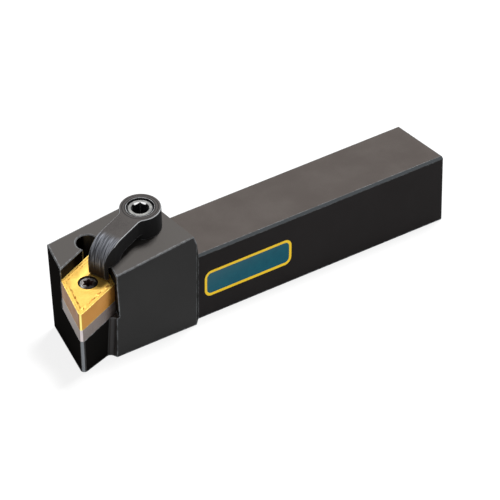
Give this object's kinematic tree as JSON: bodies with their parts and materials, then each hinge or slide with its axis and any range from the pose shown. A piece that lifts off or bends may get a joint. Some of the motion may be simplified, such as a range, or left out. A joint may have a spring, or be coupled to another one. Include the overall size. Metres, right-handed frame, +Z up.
{
  "type": "turning tool holder",
  "caption": "Right-hand turning tool holder: square shank, tilted pocket with a rhombic insert on a shim, lock pin and a gooseneck top clamp on a socket screw.",
  "frame": {"origin": "centre of the shank's base face", "axes": "+X along the shank from the cutting head to the rear end, +Y away from the cutting nose's side, +Z up from the base face"},
  "size_m": [0.1246, 0.0246, 0.0357],
  "materials": {
    "black_oxide_steel": "black oxide, satin",
    "bare_carbide": "ground",
    "coated_carbide": "gold nitride coating",
    "pin_steel": "black oxide",
    "clamp_steel": "black oxide, brushed on the bend",
    "screw_steel": "black oxide, bright rim"
  },
  "bodies": {
    "holder": {"holder_body": "black_oxide_steel", "shim": "bare_carbide", "insert": "coated_carbide"},
    "clamp": {"clamp": "clamp_steel"},
    "clamp_screw": {"clamp_screw": "screw_steel"},
    "lock_pin": {"lock_pin": "pin_steel"}
  },
  "joints": [
    {"name": "clamp_lift", "type": "slide", "parent": "holder", "child": "clamp", "axis": [-0.1041, -0.0867, 0.9908], "range_m": [0, 0.0045]},
    {"name": "clamp_screw_turn", "type": "hinge", "parent": "clamp", "child": "clamp_screw", "pos_m": [-0.05278, 0.00008, 0.02824], "axis": [-0.1041, -0.0867, 0.9908], "range_deg": [0, 810.1]},
    {"name": "lock_pin_turn", "type": "hinge", "parent": "holder", "child": "lock_pin", "pos_m": [-0.074, -0.00533, 0.02185], "axis": [-0.1041, -0.0867, 0.9908], "range_deg": [0, 180]}
  ],
  "couplings": [
    {"joint": "clamp_screw_turn", "follows": "clamp_lift", "rad_per_m": 3141.6}
  ]
}
